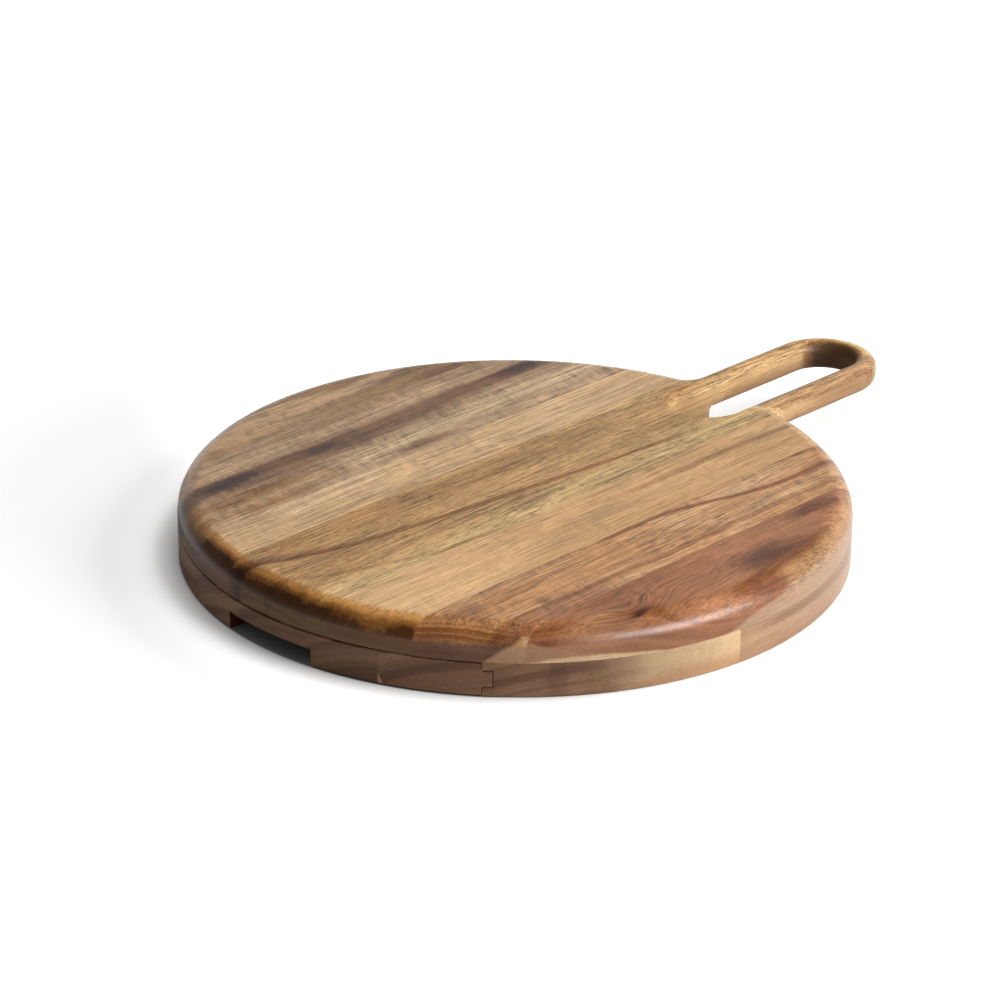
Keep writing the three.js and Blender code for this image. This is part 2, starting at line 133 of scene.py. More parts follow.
class Graph:
    def __init__(self, tree):
        self.tree = tree

    def add(self, kind, inputs, **settings):
        made = self.tree.nodes.new(kind)
        for name, value in settings.items():
            setattr(made, name, value)
        for socket, value in inputs.items():
            self.feed(made.inputs[socket], value)
        return made

    def feed(self, socket, value):
        if isinstance(value, bpy.types.NodeSocket):
            self.tree.links.new(value, socket)
        else:
            socket.default_value = value

    def math(self, operation, first, second=0.0):
        return self.add("ShaderNodeMath", {0: first, 1: second}, operation=operation).outputs[0]

    def vector(self, operation, first, second):
        return self.add("ShaderNodeVectorMath", {0: first, 1: second}, operation=operation).outputs[0]

    def measure(self, operation, first, second):
        """One number from two vectors."""
        return self.add("ShaderNodeVectorMath", {0: first, 1: second}, operation=operation).outputs["Value"]

    def distance(self, first, second):
        return self.measure("DISTANCE", first, second)

    def dot(self, first, second):
        return self.measure("DOT_PRODUCT", first, second)

    def scale(self, colour, factor):
        return self.add("ShaderNodeVectorMath", {0: colour, "Scale": factor}, operation="SCALE").outputs[0]

    def split(self, vector):
        return self.add("ShaderNodeSeparateXYZ", {0: vector}).outputs

    def join(self, x, y, z):
        return self.add("ShaderNodeCombineXYZ", {0: x, 1: y, 2: z}).outputs[0]

    def step(self, value, low, high, start=0.0, end=1.0):
        """A smooth change from start to end as the value goes from low to high, which may be the lesser."""
        inputs = {"Value": value, "From Min": low, "From Max": high, "To Min": start, "To Max": end}
        return self.add("ShaderNodeMapRange", inputs, interpolation_type="SMOOTHSTEP").outputs[0]

    def blend(self, factor, first, second):
        """Between two numbers."""
        return self.add("ShaderNodeMix", {0: factor, 2: first, 3: second}).outputs[0]

    def mix(self, factor, first, second):
        """Between two colours."""
        return self.add("ShaderNodeMix", {0: factor, 6: first, 7: second}, data_type="RGBA").outputs[2]

    def noise(self, point, lengths, seed, detail=2.0, roughness=0.5):
        """Noise from 0 to 1 whose marks have the given lengths along the three axes."""
        sized = self.vector("MULTIPLY", point, [1.0 / length for length in lengths])
        moved = self.vector("ADD", sized, [seed * shift for shift in SEED_SHIFT])
        inputs = {"Vector": moved, "Scale": 1.0, "Detail": detail, "Roughness": roughness}
        return self.add("ShaderNodeTexNoise", inputs).outputs[0]

    def curve(self, value, points):
        """A smooth curve through given points, input to output."""
        xs = [x for x, _ in points]
        ys = [y for _, y in points]
        low_x, high_x = min(xs), max(xs)
        low_y, high_y = min(ys), max(max(ys), min(ys) + LEAST_RISE)
        spread = {"Value": value, "From Min": low_x, "From Max": high_x}
        share = self.add("ShaderNodeMapRange", spread).outputs[0]
        made = self.add("ShaderNodeFloatCurve", {"Value": share})
        line = made.mapping.curves[0]
        while len(line.points) < len(points):
            line.points.new(0.5, 0.5)
        for point, (x, y) in zip(line.points, points):
            point.location = ((x - low_x) / (high_x - low_x), (y - low_y) / (high_y - low_y))
        made.mapping.update()
        back = {"Value": made.outputs[0], "To Min": low_y, "To Max": high_y}
        return self.add("ShaderNodeMapRange", back).outputs[0]


def blank_graph(owner):
    """An empty graph for the nodes of a material or a world."""
    owner.use_nodes = True
    owner.node_tree.nodes.clear()
    return Graph(owner.node_tree)


# Wood: one grain in three dimensions, so that faces, edges and end grain agree

# Kinds of mark: their lengths along the grain, across it and up in millimetres, then the seed, the detail and
# the roughness of their noise
SWAYS = ((150, 70, 70), 0, 2.0, 0.5)
LONG_FIBRES = ((150, 1.9, 1.9), 2, 3.0, 0.6)
SHORT_FIBRES = ((28, 0.5, 0.5), 3, 2.0, 0.5)
FINE_RIPPLES = ((2.2, 7, 7), 4, 3.0, 0.5)
CLOUDS = ((60, 13, 13), 5, 2.0, 0.5)
PORES = ((5.0, 0.55, 0.55), 6, 1.0, 0.5)
BROAD_RIPPLES = ((5.5, 18, 18), 7, 2.0, 0.5)
RIPPLE_CLUMPS = ((38, 20, 20), 8, 2.0, 0.5)
DARK_LINES = ((420, 1.3, 1.3), 9, 2.0, 0.5)
END_BUNDLES = ((90, 1.6, 1.6), 10, 3.0, 0.6)
END_PATCHES = ((90, 11, 11), 12, 2.0, 0.5)
STREAK_EDGES = ((45, 9, 9), 0, 2.0, 0.5)
PATCH_EDGES = ((20, 6, 6), 0, 2.0, 0.5)
LEVEL_EDGES = ((30, 6, 4), 31, 2.0, 0.5)
PLACE_EDGES = ((25, 8, 5), 41, 2.0, 0.5)
FLAME_STROKES = ((4.5, 12, 12), 0, 4.0, 0.65)
FLAME_STRETCHES = ((30, 40, 40), 1, 2.0, 0.5)

# Growth bands: their length, the seed, detail and roughness of their noise, and its range from dark to light
BAND_LENGTH = 900
BAND_NOISE = (1, 3.0, 0.6)
BAND_RANGE = (0.30, 0.70)

# The noise between which marks come in, then their least and full strength where these differ from 0 and 1.
# Pores have only its width
FLAME_RANGE = (0.38, 0.62, 0.3, 1.0)
CLUMP_RANGE = (0.40, 0.62, 0.25, 1.0)
LINE_RANGE = (0.56, 0.74)
PORE_EDGE = 0.08

# The slant of the ripples, how far edges wander in millimetres, how much each mark lightens or darkens, and
# the share of a painted mark's reach that is painted in full
SLANT = 0.3
LEVEL_WANDER = 1.0
PLACE_WANDER = 9.0
RIPPLE_AMOUNT = 5
LONG_FIBRE_AMOUNT = 3
SHORT_FIBRE_AMOUNT = 7
CLOUD_AMOUNT = 0.8
PAINT_CORE = 0.2

# End grain, partly its own colour and partly painted shade: tints, each with the share of facing along the
# grain at which it starts and is full, down a round-over (amber, then painted shade), past a place where a
# piece is painted dark all round as shade, on an upright wall and on a lower edge (both painted shade). A
# wall or a lower edge is told by how far its normal points up. The handle's side shows only a share of all
# this
ROUND_END = [
    (0.08, 0.36, (0.93, 0.75, 0.48)),
    (0.28, 0.64, (0.92, 0.68, 0.35)),
    (0.50, 0.82, (0.42, 0.27, 0.10)),
    (0.80, 1.00, (0.13, 0.06, 0.01)),
]
DARK_END = [
    (0.10, 0.45, (0.50, 0.40, 0.31)),
    (0.40, 0.85, (0.15, 0.11, 0.07)),
]
DARK_BEFORE = 4
DARK_AFTER = 8
WALL_END = (0.30, 0.24, 0.22)
WALL_END_RANGE = (0.1, 0.8)
WALL_CALM = 0.65
WALL_START = 0.27
WALL_FULL = 0.15
ROUND_CALM = (0.2, 0.6, 0.0, 0.6)
UNDER_EDGE = (0.10, 0.07, 0.05)
UNDER_START = -0.15
UNDER_FULL = -0.4
UNDER_RANGE = (0.2, 0.4)
HANDLE_SIDE_END = 0.08
END_PATCH_AMOUNT = 0.8
END_BUNDLE_AMOUNT = 0.4

# The oiled surface, duller where it faces along the grain, and most of all on a wall
SIDE_ROUGHNESS = 0.26
END_ROUGHNESS = 0.34
WALL_ROUGHNESS = 0.55
PORE_ROUGHNESS = 0.1
DULL_RANGE = (0.3, 0.7)
SPECULAR = 0.36
GRAIN_BUMP = 0.09
GRAIN_DEPTH = 0.0001

# What the studio's light adds to a tone, how much of the tone it shows, and the darkest tone
SHEEN = 0.032
LIGHT_LEVEL = 0.97
DARKEST_TONE = 0.004


def tone(red, green, blue):
    """The colour of the wood itself, from the 8-bit sRGB colour it shows in the studio's light."""
    shown = [((part / 255 + 0.055) / 1.055) ** 2.4 for part in (red, green, blue)]
    return tuple(max(part - SHEEN, DARKEST_TONE) / LIGHT_LEVEL for part in shown) + (1.0,)


class Wood:
    """Points are along, across and height in millimetres: from the disc's centre towards the handle,
    towards the near side, and up from the underside. Tones run from the dark bands to the light ones.
    A pith is the across and height of the bands' centre, and a swirl pushes the grain aside near a knot."""

    def __init__(self, name, tones, pith, seed, wander=5.0, ring=7.0, swirls=()):
        self.material = bpy.data.materials.new(name)
        g = self.g = blank_graph(self.material)
        self.seed = seed
        self.coordinates = g.add("ShaderNodeTexCoord", {})
        sized = g.vector("MULTIPLY", self.coordinates.outputs["Object"], (1 / MM, -1 / MM, 1 / MM))
        self.point = g.vector("ADD", sized, (-DISC_CENTRE_X / MM, 0, 0))
        sway = self.wobble(SWAYS, wander)
        self.bent = g.vector("ADD", self.point, g.join(0.0, sway, sway))
        for centre, size, push in swirls:
            near = g.step(self.reach(centre, size), 1.0, 0.0)
            self.bent = g.vector("ADD", self.bent, g.join(0.0, g.math("MULTIPLY", near, push), 0.0))
        self.along, self.across, _ = g.split(self.bent)
        self.slanted = g.vector("ADD", self.bent, g.join(g.math("MULTIPLY", self.across, SLANT), 0.0, 0.0))
        radius = g.distance(g.vector("MULTIPLY", self.bent, (0, 1, 1)), (0, *pith))
        bands = self.marks(g.join(self.along, radius, 0.0), ((BAND_LENGTH, ring, 1), *BAND_NOISE))
        light = g.step(bands, *BAND_RANGE)
        lower = g.mix(g.step(light, 0.0, 0.5), tones[0], tones[1])
        self.colour = g.mix(g.step(light, 0.5, 1.0), lower, tones[2])

    def marks(self, point, kind, extra=0):
        """The noise of one kind of mark, told apart from others of its kind by an extra seed."""
        lengths, seed, detail, roughness = kind
        return self.g.noise(point, lengths, self.seed + extra + seed, detail, roughness)

    def wobble(self, kind, amount, extra=0):
        """A swing to either side of zero, by no more than the amount."""
        g = self.g
        swing = g.math("SUBTRACT", self.marks(self.point, kind, extra), 0.5)
        return g.math("MULTIPLY", swing, 2 * amount)

    def flames(self, amount, extra):
        """Slanted strokes across the grain, stronger in some stretches than in others."""
        g = self.g
        strokes = g.math("SUBTRACT", self.marks(self.slanted, FLAME_STROKES, extra), 0.5)
        stretches = g.step(self.marks(self.point, FLAME_STRETCHES, extra), *FLAME_RANGE)
        return g.math("MULTIPLY", g.math("MULTIPLY", strokes, stretches), 2 * amount)

    def reach(self, centre, size):
        """Distance from a centre, in shares of an ellipse's half sizes."""
        g = self.g
        offset = g.vector("SUBTRACT", self.bent, (*centre, 0))
        return g.distance(g.vector("MULTIPLY", offset, (1 / size[0], 1 / size[1], 0)), (0, 0, 0))

    def paint(self, mask, strength, paint_tone):
        self.colour = self.g.mix(self.g.math("MULTIPLY", mask, strength), self.colour, paint_tone)

    def streak(self, line, upper, lower, paint_tone, strength=1.0, edge=1.2, flame=0.0, span=None, extra=11):
        """A band along given points, soft for its reach to either side. A flame frays its lower edge,
        and a span of start, end and fade limits its length."""
        g = self.g
        offset = g.math("ADD", self.across, self.wobble(STREAK_EDGES, edge, extra))
        offset = g.math("SUBTRACT", offset, g.curve(self.along, line))
        frayed = offset
        if flame:
            frayed = g.math("ADD", offset, self.flames(flame, extra + 1))
        near = g.math("MAXIMUM", g.math("DIVIDE", offset, -upper), g.math("DIVIDE", frayed, lower))
        mask = g.step(near, 1.0, PAINT_CORE)
        if span:
            start, end, fade = span
            mask = g.math("MULTIPLY", mask, g.step(self.along, start - fade, start))
            mask = g.math("MULTIPLY", mask, g.step(self.along, end + fade, end))
        self.paint(mask, strength, paint_tone)

    def patch(self, centre, size, paint_tone, strength=1.0, edge=0.35, flame=0.35, extra=21):
        """A soft blot of another tone, an ellipse with a ragged edge."""
        g = self.g
        ragged = g.math("ADD", self.wobble(PATCH_EDGES, edge, extra), self.flames(flame, extra + 1))
        far = g.math("ADD", self.reach(centre, size), ragged)
        self.paint(g.step(far, 1.0, PAINT_CORE), strength, paint_tone)

    def below(self, line, paint_tone, soft=1.2, strength=1.0):
        """Another tone under a surface whose height follows given points along the stave."""
        g = self.g
        limit = g.curve(self.along, line)
        height = g.math("ADD", g.split(self.point)[UP], self.wobble(LEVEL_EDGES, LEVEL_WANDER))
        under = g.math("SUBTRACT", height, limit)
        self.paint(g.step(under, soft, -soft), strength, paint_tone)

    def beyond(self, place, paint_tone, soft=5.0, strength=1.0):
        """Another tone past a place along the stave."""
        g = self.g
        past = g.math("ADD", self.along, self.wobble(PLACE_EDGES, PLACE_WANDER))
        self.paint(g.step(past, place - soft, place + soft), strength, paint_tone)

    def corner(self, side, width, height, paint_tone, core=0.7, strength=0.9):
        """Another tone in a low wedge on the near side of a seam."""
        g = self.g
        _, across, up = g.split(self.point)
        beside = g.math("DIVIDE", g.math("SUBTRACT", across, side), width)
        away = g.math("ADD", beside, g.math("DIVIDE", up, height))
        self.paint(g.step(away, 1.0, core), strength, paint_tone)

    def recess(self, opening, paint_tone, margin=0.8, soft=0.4):
        """Another tone on the walls of one of the record's openings, which reach a little past its box. It
        paints the shade inside the finger notch.
        """
        g = self.g
        along, across, up = g.split(self.point)
        back = (opening[1][0] - DISC_CENTRE_X) / MM + margin
        side = opening[1][1] / MM + margin
        ceiling = opening[1][2] / MM + margin
        inside = g.step(g.math("ABSOLUTE", across), side, side - soft)
        inside = g.math("MULTIPLY", inside, g.step(along, back, back - soft))
        inside = g.math("MULTIPLY", inside, g.step(up, ceiling, ceiling - soft))
        self.paint(inside, 1.0, paint_tone)

    def figure(self, ripple, fibre):
        """How light each point is: clumps of slanted cross ripple, long and short fibres, broad clouds."""
        g = self.g
        fine = self.marks(self.slanted, FINE_RIPPLES)
        broad = self.marks(self.slanted, BROAD_RIPPLES)
        clumps = g.step(self.marks(self.point, RIPPLE_CLUMPS), *CLUMP_RANGE)
        strokes = g.math("MULTIPLY", g.math("SUBTRACT", g.math("ADD", fine, broad), 1.0), clumps)
        layers = [
            (self.marks(self.bent, LONG_FIBRES), LONG_FIBRE_AMOUNT * fibre),
            (self.marks(self.bent, SHORT_FIBRES), SHORT_FIBRE_AMOUNT * fibre),
            (self.marks(self.point, CLOUDS), CLOUD_AMOUNT),
        ]
        level = g.math("ADD", g.math("MULTIPLY", strokes, RIPPLE_AMOUNT * ripple), 1.0)
        for layer, amount in layers:
            level = g.math("ADD", level, g.math("MULTIPLY", g.math("SUBTRACT", layer, 0.5), amount))
        return level

    def end_grain(self, toned, end, wall_end, tint_reach, dark_past):
        """End grain turns amber and then dark down a round-over, sooner by the given factor, and taupe on an
        upright wall; the amber is end grain's own colour, the dark and taupe are partly that and partly
        painted shade, and a lower edge gets painted shade under it. Past a place along the stave, where one
        is given, it darkens in two stages all round, as painted shade. Also returns how far a point is on end
        grain, and how rough it is there."""
        g = self.g
        patches = g.math("SUBTRACT", self.marks(self.bent, END_PATCHES), 0.5)
        bundles = g.math("SUBTRACT", self.marks(self.bent, END_BUNDLES), 0.5)
        patches = g.math("MULTIPLY", patches, END_PATCH_AMOUNT)
        ragged = g.math("ADD", patches, g.math("MULTIPLY", bundles, END_BUNDLE_AMOUNT))
        along, _, up = g.split(self.coordinates.outputs["Normal"])
        handle_side = g.math("MULTIPLY", along, HANDLE_SIDE_END)
        facing = g.math("MAXIMUM", g.math("MULTIPLY", along, -1.0), handle_side)
        facing = g.math("MULTIPLY", facing, g.math("MULTIPLY", g.math("ADD", ragged, 1.0), tint_reach))
        upright = g.step(up, WALL_START, WALL_FULL)
        calm = g.math("MAXIMUM", upright, g.step(facing, *ROUND_CALM))
        toned = g.mix(g.math("MULTIPLY", calm, WALL_CALM), toned, self.colour)
        rounded = toned
        # Amber, end grain's own colour, then darker tints down the round-over that are painted shade
        for low, high, tint in ROUND_END:
            rounded = g.mix(g.step(facing, low, high, 0.0, end), rounded, g.vector("MULTIPLY", toned, tint))
        # Painted shade, partly end grain's own colour: a darker taupe on an upright wall
        walled = g.step(facing, *WALL_END_RANGE, 0.0, wall_end)
        wall = g.mix(walled, toned, g.vector("MULTIPLY", toned, WALL_END))
        coloured = g.mix(upright, rounded, wall)
        # Painted shade under a lower edge that faces along the grain
        under = g.math("MULTIPLY", g.step(up, UNDER_START, UNDER_FULL), g.step(facing, *UNDER_RANGE))
        coloured = g.mix(under, coloured, g.vector("MULTIPLY", toned, UNDER_EDGE))
        # Painted shade past the given place: darker in two stages all round
        if dark_past:
            past = g.step(self.along, dark_past - DARK_BEFORE, dark_past + DARK_AFTER)
            for low, high, tint in DARK_END:
                shaded = g.math("MULTIPLY", past, g.step(facing, low, high))
                coloured = g.mix(shaded, coloured, g.vector("MULTIPLY", toned, tint))
            upright = g.math("MAXIMUM", upright, past)
        ended = g.step(facing, *DULL_RANGE)
        dulled = g.step(g.math("MULTIPLY", ended, upright), 0.0, 1.0, END_ROUGHNESS, WALL_ROUGHNESS)
        return coloured, ended, dulled

    def finish(self, ripple=0.08, fibre=0.20, lines=0.25, pore=0.3, pore_cut=0.58, end=1.0, wall_end=1.0,
               tint_reach=1.0, side_roughness=SIDE_ROUGHNESS, dark_past=None):
        """Figure, dark lines, pores and end grain, then the oiled surface."""
        g = self.g
        drawn = g.step(self.marks(self.bent, DARK_LINES), *LINE_RANGE, 0.0, lines)
        pores = g.step(self.marks(self.bent, PORES), pore_cut, pore_cut + PORE_EDGE)
        kept = g.math("SUBTRACT", 1.0, g.math("ADD", drawn, g.math("MULTIPLY", pores, pore)))
        toned = g.scale(self.colour, g.math("MULTIPLY", self.figure(ripple, fibre), kept))
        coloured, ended, dulled = self.end_grain(toned, end, wall_end, tint_reach, dark_past)
        rough = g.blend(ended, side_roughness, dulled)
        rough = g.math("ADD", rough, g.math("MULTIPLY", pores, PORE_ROUGHNESS))
        bump = g.add("ShaderNodeBump", {"Height": kept, "Strength": GRAIN_BUMP, "Distance": GRAIN_DEPTH})
        surface = g.add("ShaderNodeBsdfPrincipled", {
            "Base Color": coloured, "Roughness": rough,
            "Normal": bump.outputs[0], "Specular IOR Level": SPECULAR,
        })
        g.add("ShaderNodeOutputMaterial", {0: surface.outputs[0]})
        return self.material


# Tones of the bands in each kind of stave, from dark to light, and tones of the marks on them

BROWN = (tone(108, 78, 55), tone(145, 114, 83), tone(178, 145, 112))
BEIGE = (tone(138, 106, 78), tone(175, 145, 115), tone(206, 178, 145))
LIGHT = (tone(172, 133, 92), tone(200, 164, 124), tone(220, 186, 148))
LIGHT_GOLD = (tone(182, 139, 94), tone(200, 159, 114), tone(214, 175, 130))
GOLDEN = (tone(142, 104, 68), tone(178, 141, 99), tone(206, 170, 124))
FEATHERED = (tone(142, 96, 64), tone(188, 141, 101), tone(216, 174, 132))
RED = (tone(98, 60, 42), tone(138, 92, 65), tone(166, 117, 87))
SHADED = (tone(130, 96, 74), tone(164, 125, 97), tone(192, 152, 121))
TAN = (tone(150, 116, 90), tone(173, 138, 110), tone(191, 156, 127))
GRIP = (tone(96, 62, 42), tone(132, 88, 60), tone(164, 116, 80))
SAPWOOD = tone(229, 195, 154)
PINK_TAN = tone(182, 149, 122)
STREAK = tone(110, 79, 60)
NEAR_BLACK = tone(68, 50, 41)
PURPLE = tone(98, 66, 54)
RED_LINE = tone(126, 84, 58)
OLIVE = tone(205, 173, 125)
PALE_GOLD = tone(196, 169, 132)
MOTTLED = tone(148, 108, 70)
SMUDGE = tone(128, 97, 72)
BAR_GOLD = tone(233, 195, 143)
NOTCH_PAINTED_SHADE = tone(86, 52, 38)


# Top staves, from the far side to the near one, with the bands, streaks and knots that each one shows

def top_looks():
    looks = {}
    first = Wood("acacia_top_1", BROWN, pith=(-90, 190), seed=1.0, ring=5.0)
    first.streak([(-72, -136), (-38, -137), (0, -134)], 4, 5, tone(188, 156, 120), 0.6, flame=5,
                 span=(-60, 0, 20))
    first.patch((72, -116), (34, 6), tone(118, 82, 64), 0.8)
    looks["top_stave_1"] = first.finish(ripple=0.13, fibre=0.32, lines=0.3, end=0.7)

    second = Wood("acacia_top_2", BEIGE, pith=(-60, -160), seed=2.0, wander=2.5)
    second.patch((-95, -66), (68, 17), MOTTLED)
    second.streak([(-60, -69), (40, -70), (130, -70)], 12, 13, PALE_GOLD, 0.85, flame=7, span=(-20, 130, 40),
                  extra=13)
    second.streak([(-125, -66), (-100, -64), (-60, -66)], 5, 4, PALE_GOLD, 0.5, flame=9, span=(-128, -70, 20),
                  extra=17)
    second.streak([(-120, -91), (-35, -90), (50, -92), (110, -94)], 6, 26, STREAK, 0.6, flame=9, extra=19)
    second.patch((-38, -84), (56, 10), STREAK, 0.5, flame=1.0, extra=36)
    second.streak([(-120, -90), (-35, -89), (50, -91), (110, -93)], 5, 11, STREAK, 0.75, flame=5)
    second.patch((-92, -87), (28, 8), NEAR_BLACK, 0.9)
    second.patch((-40, -87), (18, 6), NEAR_BLACK, 0.7, extra=24)
    second.patch((97, -91), (26, 7), NEAR_BLACK, 0.85, extra=27)
    second.patch((3, -58), (26, 4.5), SMUDGE, 0.85)
    looks["top_stave_2"] = second.finish(ripple=0.21, fibre=0.36, pore=0.4, end=0.9, tint_reach=1.15)

    third = Wood("acacia_top_3", LIGHT, pith=(-40, 240), seed=3.0)
    looks["top_stave_3"] = third.finish(ripple=0.09, fibre=0.32, lines=0.2, pore=0.24, tint_reach=1.6)

    handle = Wood("acacia_handle", GOLDEN, pith=(0, -110), seed=4.0, wander=3.0, ring=6.0)
    handle.streak([(-150, -20), (-60, -18), (80, -14)], 10, 14, tone(156, 118, 80), 0.55, span=(-130, 40, 50),
                  extra=22)
    handle.streak([(-150, 34), (-60, 34), (120, 28), (250, 24)], 20, 10, OLIVE, 0.85)
    handle.streak([(-150, 0), (-110, 21), (-60, 32), (0, 38)], 2.5, 3.5, RED_LINE, 0.35, extra=15)
    handle.streak([(-150, -19), (-110, -4), (-35, 9), (65, 18), (115, 21)], 3, 2.5, RED_LINE, 0.75, edge=0.6,
                  span=(-150, 60, 60))
    handle.streak([(-150, -20), (-110, -5), (-60, 4)], 6, 4, PURPLE, 0.5, span=(-150, -128, 40), extra=18)
    handle.streak([(120, 20), (245, 20)], 60, 12, BAR_GOLD, 0.8, span=(152, 250, 18), extra=19)
    handle.streak([(150, 21), (245, 21)], 9, 9, tone(176, 140, 106), 0.95, span=(150, 235, 12), extra=23)
    handle.streak([(150, 25.4), (245, 25.4)], 1.2, 1.0, RED_LINE, 0.6, edge=0.4, span=(156, 230, 8), extra=20)
    handle.below([(120, -5), (150, -5), (166, 23), (245, 23)], tone(184, 145, 105), soft=3.5, strength=0.75)
    # Painted shade, partly end grain: the loop's inner end, past 200 mm along, is darkened all round
    looks["handle_stave"] = handle.finish(fibre=0.38, pore=0.4, pore_cut=0.54, tint_reach=1.34, side_roughness=0.42,
                                          dark_past=200)

    fifth = Wood("acacia_top_5", LIGHT_GOLD, pith=(60, 260), seed=5.0)
    fifth.streak([(15, 45), (80, 46), (137, 47)], 2.2, 3, RED_LINE, 0.5, edge=0.8, flame=1.5,
                 span=(40, 140, 40))
    looks["top_stave_5"] = fifth.finish(ripple=0.07, fibre=0.25, lines=0.15, pore=0.22, end=0.92, tint_reach=1.1)

    sixth = Wood("acacia_top_6", FEATHERED, pith=(85, -130), seed=6.0, ring=4.0)
    sixth.patch((-112, 80), (55, 11), tone(128, 86, 60), 0.2)
    sixth.patch((70, 78), (60, 8), tone(204, 166, 126), 0.7, extra=24)
    sixth.patch((78, 97), (50, 8), tone(206, 166, 127), 0.5, extra=39)
    sixth.streak([(-20, 71), (15, 73), (40, 78), (65, 84.5), (90, 88), (117, 88)], 2, 3, RED_LINE, 0.85,
                 edge=0.6, span=(-10, 117, 20))
    sixth.streak([(-120, 98), (0, 100), (90, 101)], 3.5, 3, tone(124, 82, 58), 0.6, flame=3, extra=15)
    sixth.patch((-118, 106), (36, 5), PURPLE, 0.5, extra=27)
    sixth.streak([(-120, 106), (-80, 105), (-40, 105)], 9, 6, tone(144, 99, 77), 0.75, flame=3,
                 span=(-125, -65, 30), extra=36)
    sixth.patch((-82, 94), (6, 6), tone(100, 60, 44), 0.5, extra=30)
    sixth.patch((112, 73), (9, 3), PURPLE, 0.7, extra=33)
    sixth.below([(-140, 23.5), (-120, 24), (-106, 25)], tone(116, 85, 71), soft=1.5, strength=0.8)
    sixth.below([(-140, 13), (-123, 14), (-113, 22), (-106, 27)], tone(214, 172, 132), strength=0.9)
    looks["top_stave_6"] = sixth.finish(ripple=0.16, fibre=0.38, lines=0.3, end=0.2, wall_end=0.45)

    knot = ((-61, 129), (34, 16), -9.0)
    seventh = Wood("acacia_top_7", RED, pith=(118, -60), seed=7.0, wander=7.0, ring=5.0, swirls=[knot])
    seventh.patch((18, 131), (34, 11), NEAR_BLACK, 0.6)
    seventh.patch((72, 115), (28, 7), PURPLE, 0.8)
    seventh.patch((-2, 150), (22, 8), tone(122, 84, 70), 0.6, extra=34)
    # Painted sheen: a paler beige blot on stave 7's front round-over
    seventh.patch((-84, 121), (30, 9), tone(184, 138, 106), 0.55, extra=44)
    seventh.patch((-61, 120), (8, 3), tone(84, 52, 42), 0.85, edge=0.2, flame=0.1, extra=24)
    seventh.streak([(10, 151), (40, 146), (70, 134), (100, 114)], 7, 9, tone(178, 140, 102), 0.75, flame=4,
                   span=(20, 110, 14), extra=28)
    # Painted light: the heartwood on the wall below the highlight made lighter and pinker, where the low
    # panel lights it
    seventh.below([(-100, 21), (-56, 22), (-20, 22.5), (20, 25)], tone(168, 122, 95), soft=2.0, strength=0.6)
    seventh.below([(-56, 16), (-48, 15), (-30, 15.5), (-14, 20.5), (6, 24), (18, 26.5), (60, 26), (106, 26)],
                  PINK_TAN)
    seventh.below([(-108, 26.5), (-99, 23), (-89, 20.5), (-78, 17.5), (-70, 15)], tone(180, 139, 108),
                  soft=1.0, strength=0.85)
    seventh.below([(-108, 14), (-99, 17.5), (-89, 18.3), (-67, 17.5), (-56, 15)], SAPWOOD,
                  soft=0.9, strength=0.9)
    looks["top_stave_7"] = seventh.finish(fibre=0.28, lines=0.3, pore=0.2, end=0.12, wall_end=0.15,
                                          side_roughness=0.31)
    return looks


# Base: the rails beside the drawer, two of them on the right with one figure, and the staves behind it

def base_looks():
    looks = {}
    looks["left_outer_rail"] = Wood("acacia_left_outer", TAN, pith=(130, 150), seed=11.0).finish()
    left = Wood("acacia_left_grooved", SHADED, pith=(100, -120), seed=12.0)
    looks["left_grooved_rail"] = left.finish(end=0.7, wall_end=0.8)
    for name in ("right_grooved_rail", "right_outer_rail_front"):
        front = Wood(f"acacia_{name}", SHADED, pith=(135, -90), seed=14.0)
        front.beyond(-86, tone(112, 74, 52), soft=12.0, strength=0.9)
        front.beyond(-76, SAPWOOD, soft=16.0, strength=0.75)
        front.beyond(-40, SAPWOOD, soft=20.0, strength=0.6)
        front.below([(-80, -3), (-66, 3), (-45, 6), (-19, 5)], tone(184, 138, 105), soft=3.5, strength=0.75)
        front.patch((-97, 118), (9, 6), PURPLE, 0.4, edge=0.9, flame=0.9)
        front.beyond(85, tone(160, 126, 100), soft=14.0, strength=0.9)
        looks[name] = front.finish(ripple=0.11, fibre=0.22, lines=0.15, pore=0.12, end=0.6, wall_end=0.62)
    rear = Wood("acacia_right_rear", TAN, pith=(135, 160), seed=15.0)
    rear.beyond(100, tone(150, 118, 94), soft=14.0, strength=0.8)
    rear.patch((-12, 151), (18, 8), tone(194, 157, 124), 0.7)
    rear.below([(-19, 7), (40, 6), (100, 5)], tone(166, 130, 102), soft=3.0, strength=0.5)
    looks["right_outer_rail_rear"] = rear.finish(ripple=0.05, fibre=0.22, lines=0.15, pore=0.1)
    middle = (REAR_STAVES + 1) // 2
    for count in range(1, REAR_STAVES + 1):
        tones = LIGHT if count == middle else TAN
        wood = Wood(f"acacia_rear_{count}", tones, pith=(60 - 20 * count, 170), seed=15.0 + count)
        looks[f"rear_stave_{count}"] = wood.finish(end=0.3, wall_end=0.15)
    return looks


# Drawer: staves with painted shade inside the finger notch, and a light corner at the seam of the last one

